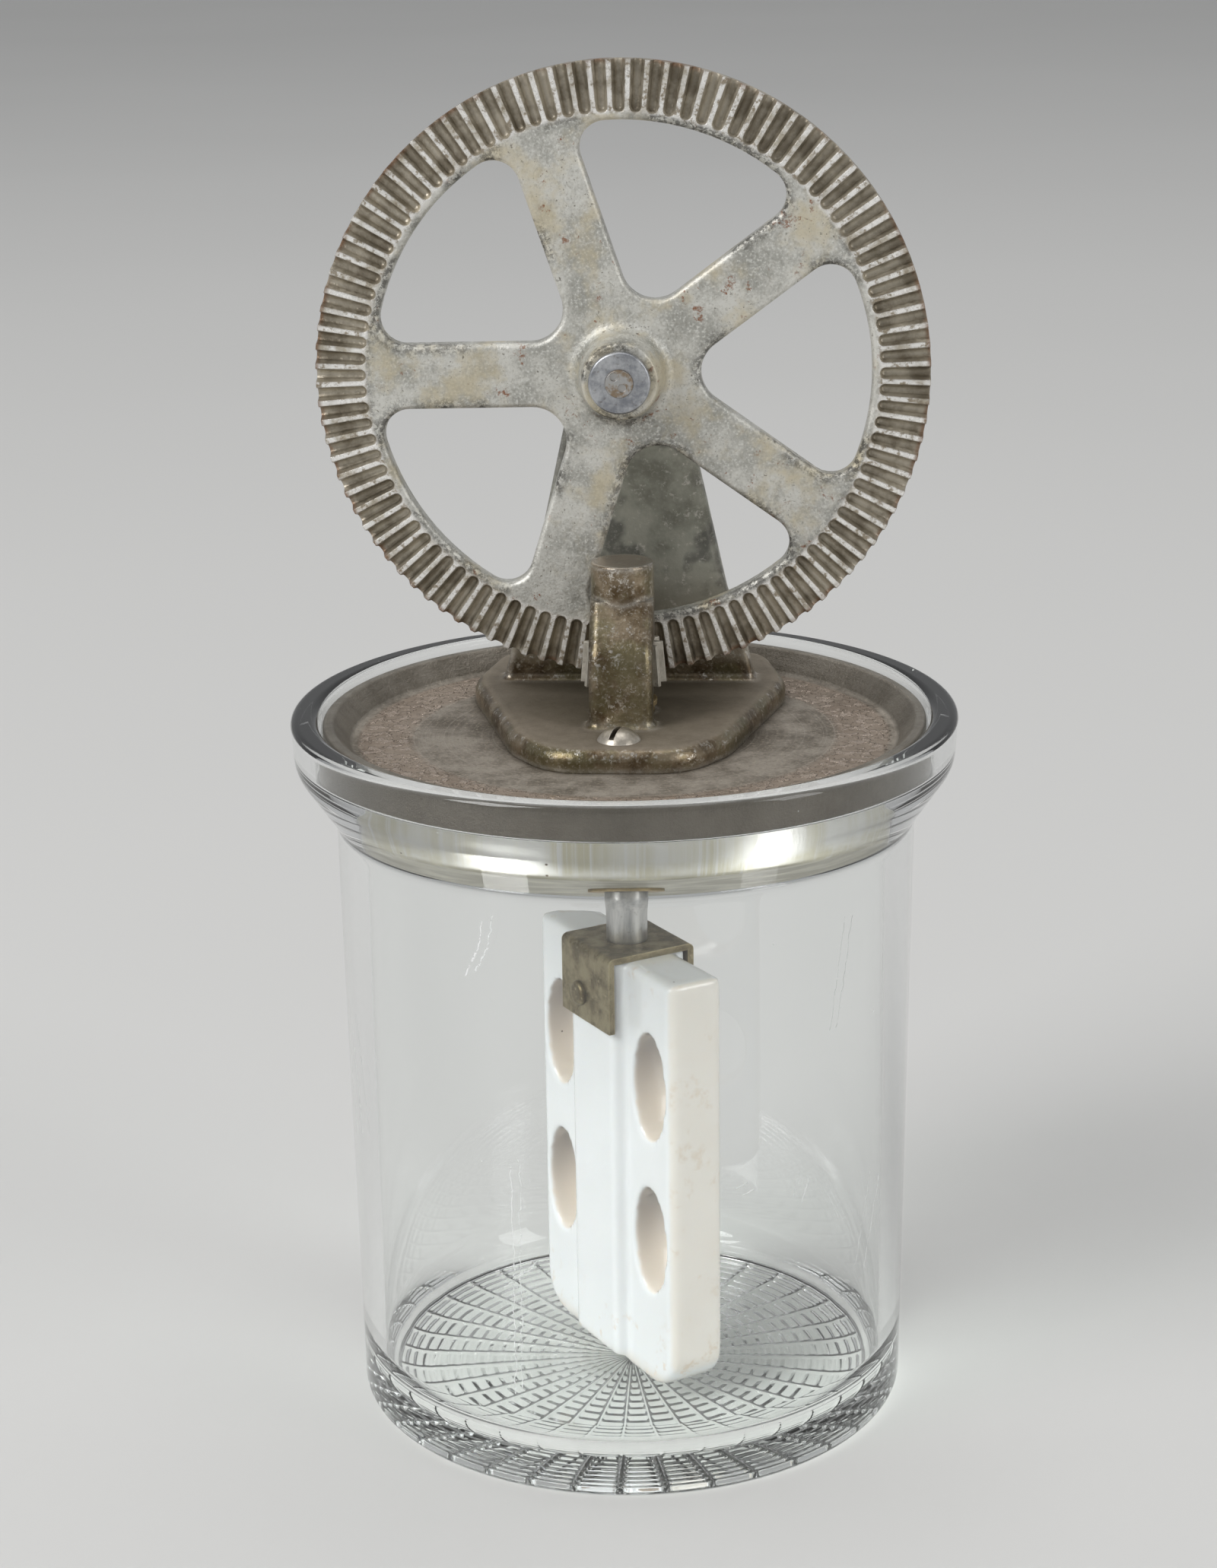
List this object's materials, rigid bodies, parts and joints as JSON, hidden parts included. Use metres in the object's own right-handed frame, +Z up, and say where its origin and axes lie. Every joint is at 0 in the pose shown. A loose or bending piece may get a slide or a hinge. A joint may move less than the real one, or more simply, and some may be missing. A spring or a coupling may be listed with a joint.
{
  "type": "hand-cranked jar mixer",
  "caption": "Clear glass jar with a lift-off lid that carries a large cranked face gear, a small pinion, and a perforated porcelain paddle on a central shaft.",
  "frame": {"origin": "centre of the jar's flat base, on the jar's axis", "axes": "+Z up the jar and shaft axis; +Y from the front post towards the rear bracket and crank, along the wheel's axle; +X to the right seen from the front"},
  "size_m": [0.1402, 0.1405, 0.2864],
  "materials": {
    "clear_glass": "clear pressed glass with a patterned foot",
    "lid_metal": "tinned casting, dull and dusty",
    "bright_tin": "turned tin plate, bright, yellowed",
    "frame_iron": "nickel-plated casting, worn and bronzed",
    "wheel_iron": "tinned casting with brown stain in the tooth gaps",
    "screw_nickel": "nickel plate, worn",
    "steel": "bare turned steel, lightly stained",
    "white_metal": "dull pale plated gear",
    "brass": "tarnished sheet brass",
    "bearing_brass": "turned brass",
    "porcelain": "white glazed porcelain",
    "knob_wood": "turned and varnished hardwood"
  },
  "bodies": {
    "jar": {"glass_jar": "clear_glass"},
    "lid": {"lid_disc": "lid_metal", "lid_skirt": "bright_tin", "frame_casting": "frame_iron", "frame_screws": "screw_nickel", "shaft_bushing": "bearing_brass"},
    "wheel": {"gear_wheel": "wheel_iron", "wheel_axle": "steel", "hub_washer": "steel", "spacer_washer": "steel", "crank_arm": "frame_iron", "crank_nut": "steel", "knob_pin": "steel"},
    "knob": {"crank_knob": "knob_wood"},
    "dasher": {"pinion": "white_metal", "pinion_pin": "steel", "thrust_washer": "steel", "dasher_shaft": "steel", "dasher_saddle": "brass", "saddle_rivet": "brass", "porcelain_paddle": "porcelain"}
  },
  "joints": [
    {"name": "lid_lift", "type": "slide", "parent": "jar", "child": "lid", "axis": [0, 0, 1], "range_m": [0, 0.16]},
    {"name": "wheel_spin", "type": "hinge", "parent": "lid", "child": "wheel", "pos_m": [0, 0.0095, 0.2229], "axis": [0, 1, 0], "continuous": true},
    {"name": "knob_spin", "type": "hinge", "parent": "wheel", "child": "knob", "pos_m": [0, 0.053, 0.1679], "axis": [0, 1, 0], "continuous": true},
    {"name": "dasher_spin", "type": "hinge", "parent": "lid", "child": "dasher", "pos_m": [0, 0, 0.16], "axis": [0, 0, 1], "continuous": true}
  ],
  "couplings": [
    {"joint": "dasher_spin", "follows": "wheel_spin", "ratio": 8.3333}
  ]
}
